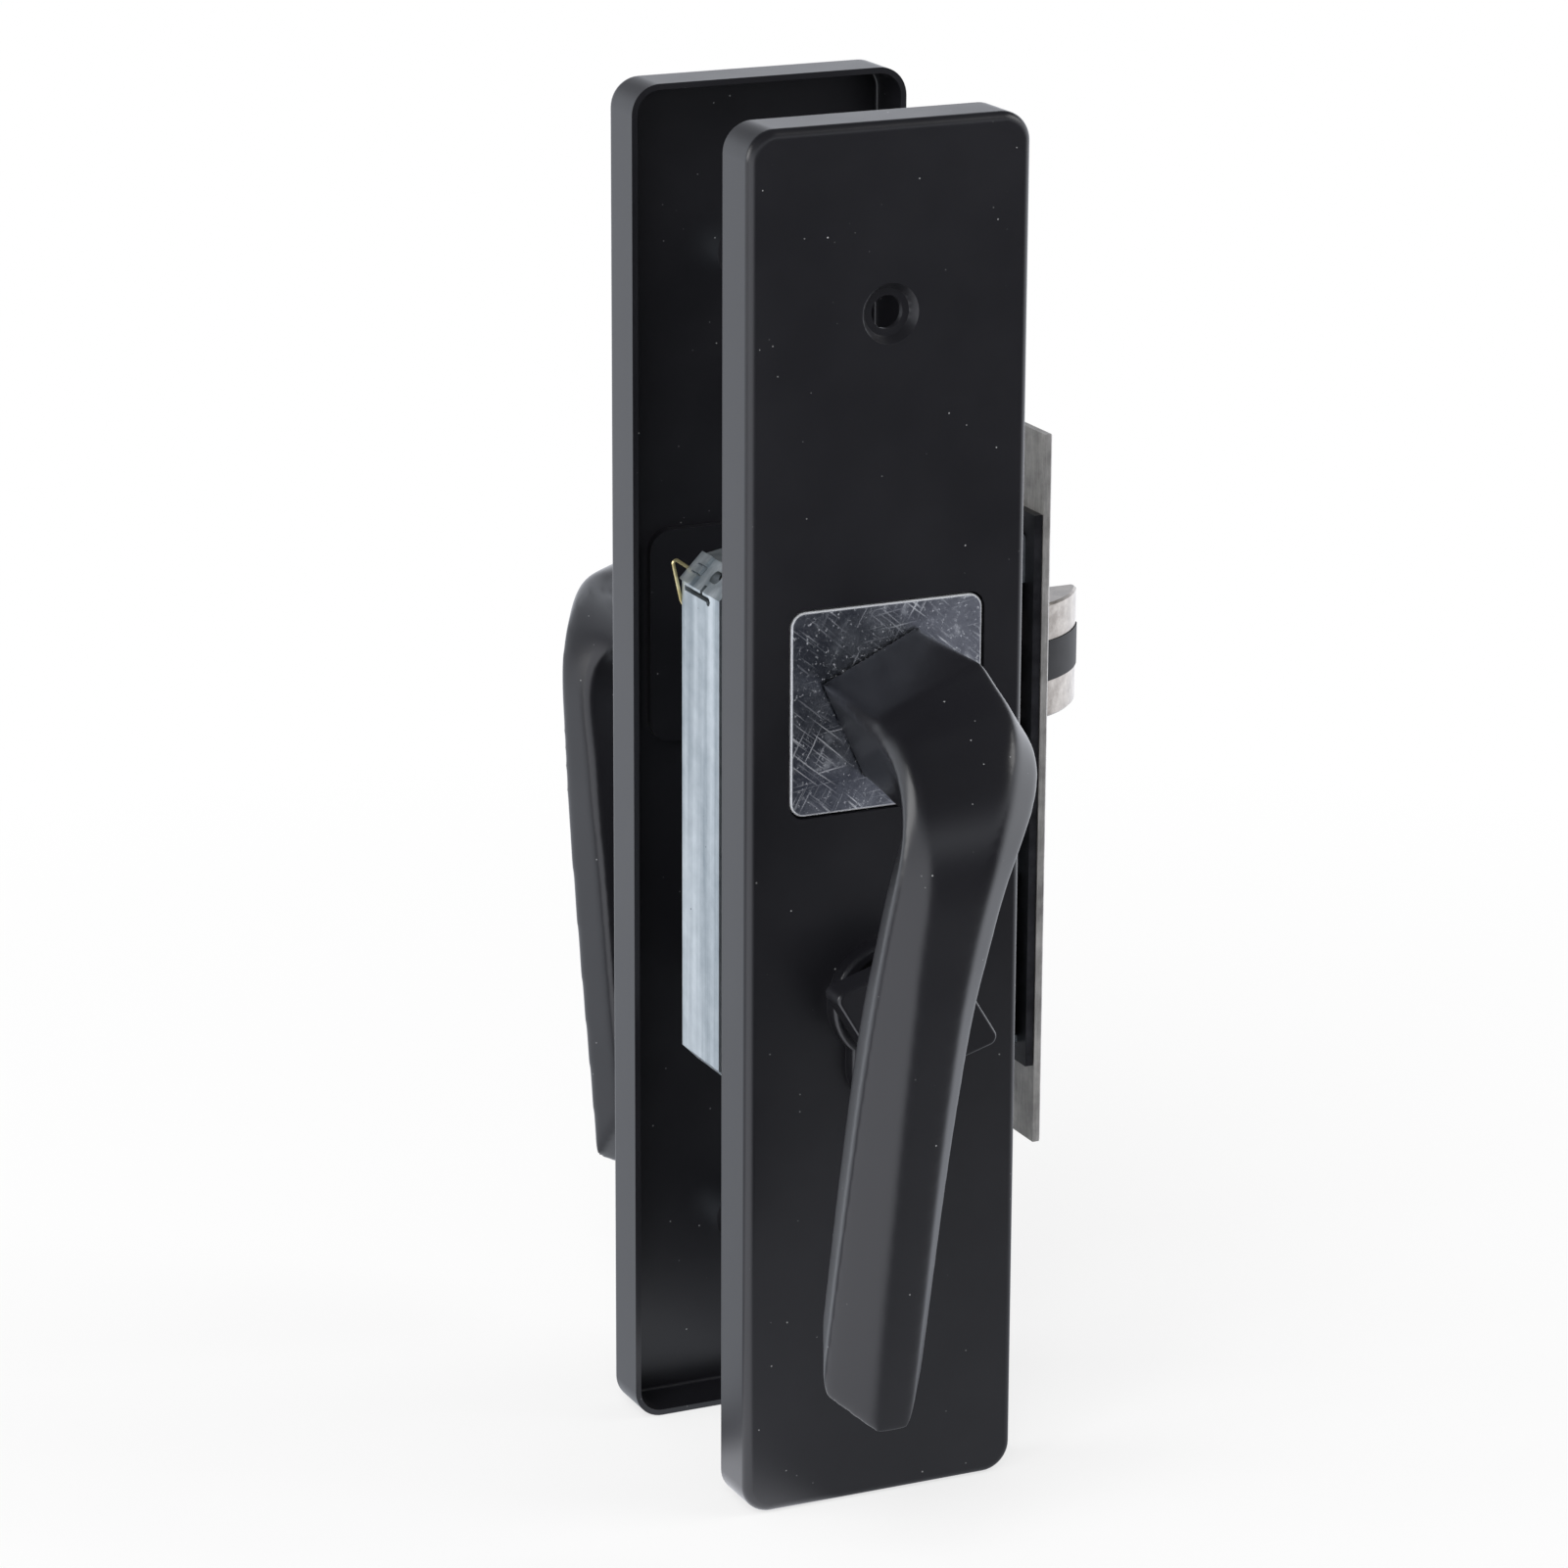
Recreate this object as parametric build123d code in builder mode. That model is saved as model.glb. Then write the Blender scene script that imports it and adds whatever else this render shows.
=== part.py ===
from build123d import *
import os
from math import atan2, cos, degrees, hypot, radians, sin

# A lever lockset for a room door, in millimetres.
# The origin is on the spindle axis, half way through the door.
# +X points to the door's edge, -Y to the side with the thumb turn, +Z up.

# Door and escutcheon plates
door_thickness = 36.0
plate_height = 235.0
plate_width = 50.0
plate_depth = 10.0
plate_sheet = 1.0
plate_corner_radius = 5.0
plate_edge_radius = 1.6
plate_above_spindle = 96.0
cylinder_drop = 50.0

# Plate screw holes, dished for a raised head, and the posts behind them
screw_hole_inset = 31.0
screw_hole_radius = 2.75
dish_radius = 5.0
dish_depth = 1.5
post_radius = 4.5
post_bore_radius = 2.1
post_length = 8.5

# Bright square insert and the pocket pressed for it
insert_size = 34.4
insert_thickness = 1.35
insert_corner_radius = 2.5
insert_gap = 0.4
pocket_depth = 1.5

# Lever hub, bush and circlip
hub_radius = 8.0
hub_length = 8.3
hub_clearance = 0.1
bush_wall = 2.0
bush_flange_width = 2.4
bush_flange_thickness = 2.0
bush_length = 5.4
bush_seat_gap = 0.05
circlip_thickness = 0.8
circlip_width = 2.9
circlip_gap_angle = 55.0
groove_depth = 0.8
groove_clearance = 0.05
hub_hole_gap = 0.4

# Spindle and the levers' bores, loose enough for a few degrees of play
spindle_size = 8.0
spindle_reach = 12.5
bore_size = 8.6
bore_depth = 13.2
lever_play = 3.5
grub_radius = 2.5
grub_reach = 9.0
grub_length = 5.6
grub_gap = 0.35

# Lever: the bend from the neck to the grip turns about a line across the lever
neck_gap = 0.35
bend_reach = 23.5
bend_drop = 15.5
lever_unit_length = 1.0
tip_reach = 38.2
tip_drop = 110.4
tip_cut_angle = 53.0

# Lock case
case_thickness = 15.0
case_sheet = 1.2
case_behind_spindle = 20.75
case_above_spindle = 20.7
case_below_spindle = 69.6
case_corner_width = 4.2
case_corner_drop = 6.0
case_rise = 1.8
case_rise_width = 10.0
case_bottom_corner = 2.8
tab_height = 8.8
tab_length = 1.4
tab_corner = 1.3
hook_slot_near = -3.0
hook_slot_width = 0.9
strip_width = 4.2
strip_thickness = 0.7
pillar_radius = 2.0
pillar_bore_radius = 1.3

# Forend, screwed to the inner forend at the front of the case
backset = 38.5
forend_thickness = 1.5
forend_width = 22.0
forend_above_spindle = 38.0
forend_length = 125.0
inner_forend_thickness = 1.5
inner_forend_width = 21.4
inner_forend_overlap = 3.5
forend_hole_inset = 6.7
forend_hole_radius = 3.2
forend_hole_mouth_radius = 4.6
forend_screw_radius = 2.0
forend_screw_head_radius = 3.8
case_screw_head_height = 1.4

# Latch bolt and its nylon insert
latch_height = 20.0
latch_centre_drop = 3.1
latch_projection = 13.0
latch_travel = 12.2
latch_block_length = 7.0
latch_tip_flat = 1.4
latch_root = 0.5
latch_bulge = 1.6
latch_insert_height = 7.0
latch_insert_root = 0.5
latch_insert_proud = 0.25
latch_insert_gap = 0.1
tail_height = 5.4
tail_thickness = 2.0
lug_thickness = 3.0
bolt_thickness = 11.2
bolt_gap = 0.3

# Follower: the hub that the spindle turns
follower_radius = 9.5
journal_radius = 7.0
journal_clearance = 0.08
handle_swing = 45.0
follower_thickness = 11.0
spindle_clearance = 0.1
arm_length = 16.0
arm_thickness = 6.0
arm_width = 3.4
arm_nose_radius = 3.0
ear_length = 16.5
ear_height = 2.8
ear_droop = 30.0

# Springs
latch_spring_radius = 2.5
latch_spring_wire = 0.4
latch_spring_turns = 6
latch_spring_height = 13.5
spring_pin_radius = 1.6
return_spring_radius = 2.6
return_spring_wire = 0.35
return_spring_turns = 6
return_spring_place = -13.5
return_spring_bottom = -3.8
return_spring_top = 16.9
anchor_wire = 0.3
anchor_apex_height = 18.8
anchor_apex_back = 22.4

# Deadbolt
deadbolt_height = 19.0
deadbolt_throw = 13.0
deadbolt_setback = 0.4
deadbolt_tail = 13.4
deadbolt_corner = 0.8
notch_mouth = 0.8
guide_radius = 2.0
guide_place = 14.0
guide_gap = 0.3

# Profile cylinder, cam, thumb turn and key plug
profile_radius = 8.5
profile_lobe_width = 10.0
profile_drop = 16.5
profile_clearance = 0.15
collar_wall = 2.0
collar_height = 3.0
collar_edge_radius = 0.9
cylinder_proud = 2.2
plug_radius = 6.45
plug_clearance = 0.05
cam_slot = 10.4
cam_gap = 0.3
cam_ring_radius = 8.2
cam_neck_width = 3.2
cam_nose_radius = 2.2
cam_nose_reach = 13.0
cam_swing = 60.0
coupling_width = 8.0
coupling_thickness = 4.0
coupling_gap = 0.1
keyway_width = 2.0
keyway_height = 8.6
keyway_depth = 22.0
cylinder_screw_radius = 2.4
cylinder_screw_head_radius = 4.6
cylinder_screw_drop = 12.8
turn_base_radius = 7.4
turn_base_height = 5.4
turn_wing_length = 15.4
turn_wing_radius = 10.0
turn_tip_radius = 1.5
turn_wing_thickness = 5.0
turn_wing_angle = -21.0
turn_end_gap = 0.3

# Places worked out from the sizes above
rim = door_thickness / 2
face = rim + plate_depth
plate_bottom = plate_above_spindle - plate_height
plate_middle = plate_above_spindle - plate_height / 2
screw_heights = (plate_above_spindle - screw_hole_inset, plate_bottom + screw_hole_inset)
pocket_size = insert_size + 2 * insert_gap
pocket_floor = face - pocket_depth
pocket_back = pocket_floor - plate_sheet
hub_end = face - hub_length
bush_radius = hub_radius + hub_clearance + bush_wall
case_side = case_thickness / 2
case_inner = case_side - case_sheet
forend_back = backset - forend_thickness
case_front = forend_back - inner_forend_thickness
inner_forend_middle = (case_above_spindle - case_below_spindle) / 2
inner_forend_length = case_above_spindle + case_below_spindle + 2 * inner_forend_overlap
forend_bottom = forend_above_spindle - forend_length
forend_hole_heights = (forend_above_spindle - forend_hole_inset, forend_bottom + forend_hole_inset)
forend_screw_heights = (latch_height / 2 - latch_centre_drop + 8.5, -cylinder_drop - 2.0)
forend_middle = forend_above_spindle - forend_length / 2
nose_start = arm_length * sin(radians(handle_swing / 2))
nose_level = arm_length * cos(radians(handle_swing / 2))
lug_face = nose_start - arm_nose_radius - bolt_gap
latch_bottom = -latch_centre_drop - latch_height / 2
latch_top = -latch_centre_drop + latch_height / 2
latch_tip = backset + latch_projection
latch_rear = follower_radius + latch_travel + 1.2
tail_top = -nose_level + tail_height / 2
tail_bottom = tail_top - tail_height - 0.3
cam_start = cam_nose_reach * sin(radians(cam_swing / 2))
cam_level = cam_nose_reach * cos(radians(cam_swing / 2))
deadbolt_bottom = -cylinder_drop + cam_level - cam_nose_radius + 1.0
deadbolt_top = deadbolt_bottom + deadbolt_height
cylinder_end = face + cylinder_proud


def at_side(distance):
    """A plane parallel to the door, facing the thumb turn's side, this far from the door's middle."""
    return Plane.XZ.offset(distance)


def cylinder_profile(growth):
    """The profile cylinder's section, grown outwards all round, drawn in a sketch parallel to the door."""
    lobe_radius = profile_lobe_width / 2 + growth
    lobe_centre = -cylinder_drop - profile_drop + profile_lobe_width / 2
    with Locations((0, -cylinder_drop)):
        Circle(profile_radius + growth)
    with Locations((0, lobe_centre)):
        Circle(lobe_radius)
    with Locations((0, (lobe_centre - cylinder_drop) / 2)):
        Rectangle(2 * lobe_radius, -cylinder_drop - lobe_centre)


def plate_with_collar():
    """A pressed plate: pan with a flange, pocket for the insert, raised collar and two dished holes."""
    with BuildPart() as plate:
        with BuildSketch(at_side(rim)):
            with Locations((0, plate_middle)):
                RectangleRounded(plate_width, plate_height, plate_corner_radius)
        extrude(amount=plate_depth)
        fillet(plate.faces().sort_by(Axis.Y)[0].edges(), plate_edge_radius)
        offset(amount=-plate_sheet, openings=plate.faces().sort_by(Axis.Y)[-1])

        # The pocket's floor stands out at the back
        with BuildSketch(at_side(pocket_back)):
            RectangleRounded(pocket_size + 2 * plate_sheet, pocket_size + 2 * plate_sheet,
                             insert_corner_radius + insert_gap + plate_sheet)
        extrude(amount=pocket_depth)
        with BuildSketch(at_side(pocket_floor)):
            RectangleRounded(pocket_size, pocket_size, insert_corner_radius + insert_gap)
        extrude(amount=pocket_depth, mode=Mode.SUBTRACT)
        with BuildSketch(at_side(pocket_back)):
            Circle(bush_radius + bush_seat_gap)
        extrude(amount=plate_sheet, mode=Mode.SUBTRACT)

        # The collar round the cylinder is drawn out of the plate
        with BuildSketch(at_side(face - plate_sheet)):
            cylinder_profile(collar_wall)
        extrude(amount=plate_sheet + collar_height)
        fillet(plate.faces().sort_by(Axis.Y)[0].edges(), collar_edge_radius)
        with BuildSketch(at_side(face - plate_sheet)):
            cylinder_profile(profile_clearance)
        extrude(amount=plate_sheet + collar_height, mode=Mode.SUBTRACT)

        # Dished screw holes, pressed in so that the dish stands out at the back
        for height in screw_heights:
            with BuildSketch(at_side(face - plate_sheet)):
                with Locations((0, height)):
                    Circle(dish_radius + plate_sheet / 2)
            extrude(amount=-dish_depth, taper=35)
            with BuildSketch(at_side(face)):
                with Locations((0, height)):
                    Circle(dish_radius)
            extrude(amount=-dish_depth, taper=35, mode=Mode.SUBTRACT)
            with BuildSketch(at_side(face)):
                with Locations((0, height)):
                    Circle(screw_hole_radius)
            extrude(amount=-plate_depth, mode=Mode.SUBTRACT)
    return plate.part


def square_insert():
    """The bright square that fills the plate's pocket round the lever's neck."""
    with BuildPart() as insert:
        with BuildSketch(at_side(pocket_floor)):
            RectangleRounded(insert_size, insert_size, insert_corner_radius)
            Circle(hub_radius + hub_hole_gap, mode=Mode.SUBTRACT)
        extrude(amount=insert_thickness)
        chamfer(insert.faces().sort_by(Axis.Y)[0].outer_wire().edges(), 0.25)
    return insert.part


def lever_bush():
    """The flanged nylon bush that carries the lever's hub in the plate."""
    with BuildPart() as bush:
        with BuildSketch(at_side(pocket_floor - bush_length)):
            Circle(bush_radius)
        extrude(amount=bush_length)
        with BuildSketch(at_side(pocket_back - bush_flange_thickness)):
            Circle(bush_radius + bush_flange_width)
        extrude(amount=bush_flange_thickness)
        with BuildSketch(at_side(pocket_floor - bush_length)):
            Circle(hub_radius + hub_clearance)
        extrude(amount=bush_length, mode=Mode.SUBTRACT)
    return bush.part


circlip_outer = pocket_floor - bush_length - 0.2


def hub_circlip():
    """The open ring in the hub's groove that holds the lever in the plate."""
    inner = hub_radius - groove_depth + groove_clearance
    with BuildPart() as circlip:
        with BuildSketch(at_side(circlip_outer - circlip_thickness)):
            Circle(inner + circlip_width)
            Circle(inner, mode=Mode.SUBTRACT)
            with BuildLine():
                reach = 2 * (inner + circlip_width)
                half = radians(circlip_gap_angle / 2)
                Polyline((0, 0), (-reach * sin(half), -reach * cos(half)),
                         (reach * sin(half), -reach * cos(half)), close=True)
            make_face(mode=Mode.SUBTRACT)
        extrude(amount=circlip_thickness)
    return circlip.part


# Lever sections from the plate to the tip. Each has its place along the lever, counted from the start of the
# bend, and its corners in units of length as (across, out from the bend line): left crease, right crease,
# right edge, right heel, left heel, left edge.
bend_length = 22.0 * lever_unit_length
grip_length = tip_drop - bend_drop + 3.1 * lever_unit_length
lever_sections = [
    (neck_gap - bend_reach,
     [(-11.9, 20.5), (5.4, 28.4), (13.1, 11.3), (6.3, 8.2), (-4.1, 3.6), (-11.6, 19.8)]),
    (0.0,
     [(-13.0, 20.7), (5.5, 28.2), (12.2, 13.2), (4.9, 4.9), (-6.9, 3.0), (-13.9, 18.4)]),
    (bend_length / 3,
     [(-13.7, 22.0), (4.3, 25.6), (9.4, 19.6), (3.9, 8.8), (-8.8, 7.8), (-15.3, 18.8)]),
    (bend_length * 2 / 3,
     [(-14.7, 22.3), (-0.3, 24.6), (7.0, 19.2), (1.5, 9.8), (-12.2, 10.3), (-16.8, 19.0)]),
    (bend_length,
     [(-14.5, 22.4), (-4.6, 23.7), (2.3, 18.8), (-2.0, 11.7), (-16.2, 11.7), (-18.6, 18.8)]),
    (bend_length + 0.31 * grip_length,
     [(-16.5, 20.3), (-9.3, 20.8), (-4.2, 16.0), (-6.9, 6.8), (-20.0, 6.8), (-22.3, 15.5)]),
    (bend_length + grip_length,
     [(-19.5, 14.6), (-13.5, 14.6), (-9.6, 8.5), (-11.7, 1.2), (-25.0, 1.2), (-27.7, 9.1)]),
]
neck_stops = [neck_gap - bend_reach, 0]
grip_stops = [bend_length * share / 3 for share in range(4)]
grip_stops += [bend_length + grip_length * share for share in (0.1, 0.2, 0.33, 0.49, 0.65, 0.82, 1)]


def lever_slope(index, corner, part):
    """How fast a corner runs sideways along the lever at one of the given sections."""
    before = lever_sections[max(index - 1, 0)]
    after = lever_sections[min(index + 1, len(lever_sections) - 1)]
    return (after[1][corner][part] - before[1][corner][part]) / (after[0] - before[0])


def lever_corner(stop, corner, part):
    """A corner's coordinate at any place along the lever, eased between the given sections."""
    index = 0
    while stop > lever_sections[index + 1][0]:
        index = index + 1
    span = lever_sections[index + 1][0] - lever_sections[index][0]
    share = (stop - lever_sections[index][0]) / span
    low = lever_sections[index][1][corner][part]
    high = lever_sections[index + 1][1][corner][part]
    low_slope = lever_slope(index, corner, part) * span
    high_slope = lever_slope(index + 1, corner, part) * span
    eased = low + (high - low) * share ** 2 * (3 - 2 * share)
    bow = share * (1 - share) * (low_slope * (1 - share) - high_slope * share)
    return lever_unit_length * (eased + bow)


def lever_plane(stop):
    """The section plane at a place along the lever: turning about the bend line, then running down."""
    turn = min(max(stop / bend_length, 0), 1) * 90
    along = stop - min(max(stop, 0), bend_length)
    direction = (0, -cos(radians(turn)), -sin(radians(turn)))
    plane = Plane(origin=(0, -face - bend_reach, -bend_drop), x_dir=(1, 0, 0), z_dir=direction)
    return plane.offset(along)


with BuildPart() as front_lever:
    for stops, straight in ((neck_stops, True), (grip_stops, False)):
        for stop in stops:
            corners = [(lever_corner(stop, corner, 0), lever_corner(stop, corner, 1)) for corner in range(6)]
            with BuildSketch(lever_plane(stop)):
                Polygon(*corners, align=None)
        loft(ruled=straight)

    # The tip is cut off at a slant, longest at the front
    cut_direction = (0, -sin(radians(tip_cut_angle)), cos(radians(tip_cut_angle)))
    tip_plane = Plane(origin=(0, -face - tip_reach, -tip_drop), x_dir=(1, 0, 0), z_dir=cut_direction)
    split(bisect_by=tip_plane, keep=Keep.TOP)

    # Round hub with the circlip's groove and the spindle's square bore
    with BuildSketch(at_side(hub_end)):
        Circle(hub_radius)
    extrude(amount=hub_length + neck_gap + 1)
    with BuildSketch(at_side(circlip_outer - circlip_thickness - groove_clearance)):
        Circle(hub_radius + 1)
        Circle(hub_radius - groove_depth, mode=Mode.SUBTRACT)
    extrude(amount=circlip_thickness + 2 * groove_clearance, mode=Mode.SUBTRACT)
    with BuildSketch(at_side(hub_end)):
        Rectangle(bore_size, bore_size, rotation=-lever_play)
    extrude(amount=hub_length + bore_depth, mode=Mode.SUBTRACT)
    with BuildSketch(Plane.XY.offset(-spindle_size / 2)):
        with Locations((0, -face - grub_reach)):
            Circle(grub_radius)
    extrude(amount=-bend_drop, mode=Mode.SUBTRACT)
front_lever.part.label = "front_lever"


def to_far_side(piece):
    """The same piece on the other side of the door."""
    return piece.mirror(Plane.XZ)


def to_far_lever(piece):
    """The same piece on the far lever, which hangs a little more upright within its play."""
    return piece.mirror(Plane.XZ).rotate(Axis.Y, -2 * lever_play)


with BuildPart() as rear_lever:
    add(to_far_lever(front_lever.part))
rear_lever.part.label = "rear_lever"

with BuildPart() as front_plate:
    add(plate_with_collar())
front_plate.part.label = "front_plate"

with BuildPart() as rear_plate:
    add(to_far_side(plate_with_collar()))
rear_plate.part.label = "rear_plate"

with BuildPart() as plate_posts:
    post_start = face - plate_sheet - dish_depth
    for height in screw_heights:
        with BuildSketch(Plane.XZ.offset(-post_start)):
            with Locations((0, height)):
                Circle(post_radius)
                Circle(post_bore_radius, mode=Mode.SUBTRACT)
        extrude(amount=post_length - dish_depth)
plate_posts.part.label = "plate_posts"

with BuildPart() as front_insert:
    add(square_insert())
front_insert.part.label = "front_insert"

with BuildPart() as rear_insert:
    add(to_far_side(square_insert()))
rear_insert.part.label = "rear_insert"

with BuildPart() as front_bush:
    add(lever_bush())
front_bush.part.label = "front_bush"

with BuildPart() as rear_bush:
    add(to_far_side(lever_bush()))
rear_bush.part.label = "rear_bush"

with BuildPart() as front_circlip:
    add(hub_circlip())
front_circlip.part.label = "front_circlip"

with BuildPart() as rear_circlip:
    add(to_far_side(hub_circlip()))
rear_circlip.part.label = "rear_circlip"

with BuildPart() as spindle:
    with BuildSketch(at_side(face + spindle_reach)):
        Rectangle(spindle_size, spindle_size)
    extrude(amount=-2 * (face + spindle_reach))
    chamfer(spindle.faces().filter_by(Axis.Y).edges(), 0.6)
spindle.part.label = "spindle"

grub_top = spindle_size / 2 + grub_gap
with BuildPart() as grub_screw:
    with BuildSketch(Plane.XY.offset(-grub_top)):
        with Locations((0, -face - grub_reach)):
            Circle(grub_radius)
    extrude(amount=-grub_length)
    with BuildSketch(Plane.XY.offset(-grub_top - grub_length)):
        with Locations((0, -face - grub_reach)):
            RegularPolygon(grub_radius / 2, 6)
    extrude(amount=grub_length / 2, mode=Mode.SUBTRACT)

with BuildPart() as grub_screws:
    add(grub_screw.part)
    add(to_far_lever(grub_screw.part))
grub_screws.part.label = "grub_screws"


def case_outline(front):
    """The case's side outline up to the given front, with its corners at the back cut off."""
    back = -case_behind_spindle
    top = case_above_spindle
    bottom = -case_below_spindle
    Polygon((front, top), (back + case_corner_width + case_rise_width, top),
            (back + case_corner_width, top - case_rise), (back, top - case_corner_drop),
            (back, bottom + case_bottom_corner), (back + case_bottom_corner, bottom), (front, bottom),
            align=None)


# Pillars that hold the two sides together, as (place along X, height)
screwed_pillars = [(-7.5, 15.0), (-15.5, -62.0), (27.0, -49.5)]
guide_pillar = (guide_place, deadbolt_bottom + deadbolt_height * 0.6)
rear_pillar = (-17.4, -30.0)

with BuildPart() as case_body:
    with BuildSketch(at_side(case_side)):
        case_outline(case_front)
    extrude(amount=-(case_thickness - case_sheet))
    with BuildSketch(at_side(case_inner)):
        case_outline(case_front + case_sheet)
        offset(amount=-case_sheet, kind=Kind.INTERSECTION)
    extrude(amount=-case_thickness, mode=Mode.SUBTRACT)
    with BuildSketch(at_side(case_side)):
        Circle(journal_radius + journal_clearance)
        cylinder_profile(profile_clearance)
    extrude(amount=-case_sheet, mode=Mode.SUBTRACT)

    # Below a tab at its top, the near side stands back from the forend
    with BuildSketch(at_side(case_side)):
        with Locations((case_front, case_above_spindle - tab_height)):
            Rectangle(tab_length, case_above_spindle + case_below_spindle - tab_height - case_sheet,
                      align=(Align.MAX, Align.MAX))
        with Locations((case_front, case_above_spindle)):
            Rectangle(tab_corner, tab_corner, align=(Align.MAX, Align.MAX))
        with Locations((case_front - tab_corner, case_above_spindle - tab_corner)):
            Circle(tab_corner, mode=Mode.SUBTRACT)
    extrude(amount=-case_sheet, mode=Mode.SUBTRACT)

    # Slots pressed through the back where the cover's strip is hooked in
    corner_start = case_above_spindle - case_corner_drop
    with BuildSketch(Plane.YZ.offset(-case_behind_spindle - 1)):
        with Locations((hook_slot_near, corner_start - hook_slot_width)):
            Rectangle(case_side - hook_slot_near, hook_slot_width, align=(Align.MIN, Align.CENTER))
        with Locations((hook_slot_near, corner_start - 1.3 * hook_slot_width)):
            Circle(0.8 * hook_slot_width)
        with Locations((hook_slot_near + 3 * hook_slot_width, corner_start)):
            Rectangle(hook_slot_width, 2 * hook_slot_width)
        with Locations((hook_slot_near + 2 * hook_slot_width, corner_start + case_corner_width * 0.55)):
            SlotOverall(3.6 * hook_slot_width, 1.8 * hook_slot_width)
    extrude(amount=case_corner_width + 1, mode=Mode.SUBTRACT)

    # Bracket with a pin that carries the latch spring's rear end
    with BuildSketch(Plane.YZ.offset(-3.0)):
        with Locations((0, (case_above_spindle + follower_radius) / 2)):
            Rectangle(8.0, case_above_spindle - follower_radius - 1.2)
    extrude(amount=2.0)
    with BuildSketch(Plane.YZ.offset(-1.0)):
        with Locations((0, latch_spring_height)):
            Circle(spring_pin_radius)
    extrude(amount=3.5)
case_body.part.label = "case_body"

# Corners of the wire that anchors the return spring, as (place along X, height)
anchor_corners = [(-case_behind_spindle + 7.0, anchor_apex_height - 4.2),
                  (-case_behind_spindle + 1.6, anchor_apex_height - 2.3),
                  (-anchor_apex_back, anchor_apex_height),
                  (-case_behind_spindle, anchor_apex_height - 7.5),
                  (-case_behind_spindle + 2.5, anchor_apex_height - 12.0)]

with BuildPart() as case_cover:
    with BuildSketch(at_side(-case_inner)):
        case_outline(case_front)
    extrude(amount=-case_sheet)
    with BuildSketch(at_side(-case_inner)):
        Circle(journal_radius + journal_clearance)
        cylinder_profile(profile_clearance)
        with Locations(*screwed_pillars):
            Circle(pillar_bore_radius)
        with Locations(anchor_corners[0], anchor_corners[-1]):
            Circle(anchor_wire + 0.1)
    extrude(amount=-case_sheet, mode=Mode.SUBTRACT)

    # Strip of the cover, bent over the cut corner and nicked twice
    strip_start = (-case_behind_spindle, case_above_spindle - case_corner_drop)
    strip_run = hypot(case_corner_width, case_corner_drop - case_rise)
    strip_angle = degrees(atan2(case_corner_drop - case_rise, case_corner_width))
    with BuildSketch(at_side(-case_side)):
        with Locations(Location((strip_start[0], strip_start[1], 0), (0, 0, strip_angle))):
            Rectangle(strip_run, strip_thickness, align=(Align.MIN, Align.MIN))
    extrude(amount=strip_width)
    with BuildSketch(at_side(-case_side + strip_width)):
        for share in (0.36, 0.64):
            with Locations(Location((strip_start[0] + share * case_corner_width,
                                     strip_start[1] + share * (case_corner_drop - case_rise), 0),
                                    (0, 0, strip_angle))):
                Rectangle(0.3, strip_thickness, align=(Align.CENTER, Align.MIN))
    extrude(amount=-strip_width * 0.6, mode=Mode.SUBTRACT)
case_cover.part.label = "case_cover"

with BuildPart() as case_pillars:
    with BuildSketch(at_side(case_inner)):
        with Locations(*screwed_pillars, guide_pillar, rear_pillar):
            Circle(pillar_radius)
        with Locations(*screwed_pillars):
            Circle(pillar_bore_radius, mode=Mode.SUBTRACT)
    extrude(amount=-2 * case_inner)
case_pillars.part.label = "case_pillars"

with BuildPart() as case_screws:
    with BuildSketch(at_side(-case_side)):
        with Locations(*screwed_pillars):
            Circle(2 * pillar_bore_radius)
    extrude(amount=-case_screw_head_height)
    chamfer(case_screws.faces().sort_by(Axis.Y)[-3:].edges(), 0.5)
    with BuildSketch(at_side(-case_side)):
        with Locations(*screwed_pillars):
            Circle(pillar_bore_radius - 0.05)
    extrude(amount=case_thickness / 2)
case_screws.part.label = "case_screws"


def bolt_openings():
    """The openings for latch and deadbolt, for a sketch parallel to the forend."""
    with Locations((0, -latch_centre_drop)):
        Rectangle(bolt_thickness + 2 * bolt_gap, latch_height + 2 * bolt_gap, mode=Mode.SUBTRACT)
    with Locations((0, (deadbolt_bottom + deadbolt_top) / 2)):
        Rectangle(bolt_thickness + 2 * bolt_gap, deadbolt_height + 2 * bolt_gap, mode=Mode.SUBTRACT)


with BuildPart() as inner_forend:
    with BuildSketch(Plane.YZ.offset(case_front)):
        with Locations((0, inner_forend_middle)):
            Rectangle(inner_forend_width, inner_forend_length)
        bolt_openings()
        for height in forend_screw_heights:
            with Locations((0, height)):
                Circle(forend_screw_radius, mode=Mode.SUBTRACT)
        with Locations((0, -cylinder_drop - cylinder_screw_drop)):
            Circle(cylinder_screw_radius + 0.2, mode=Mode.SUBTRACT)
    extrude(amount=inner_forend_thickness)
inner_forend.part.label = "inner_forend"

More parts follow.
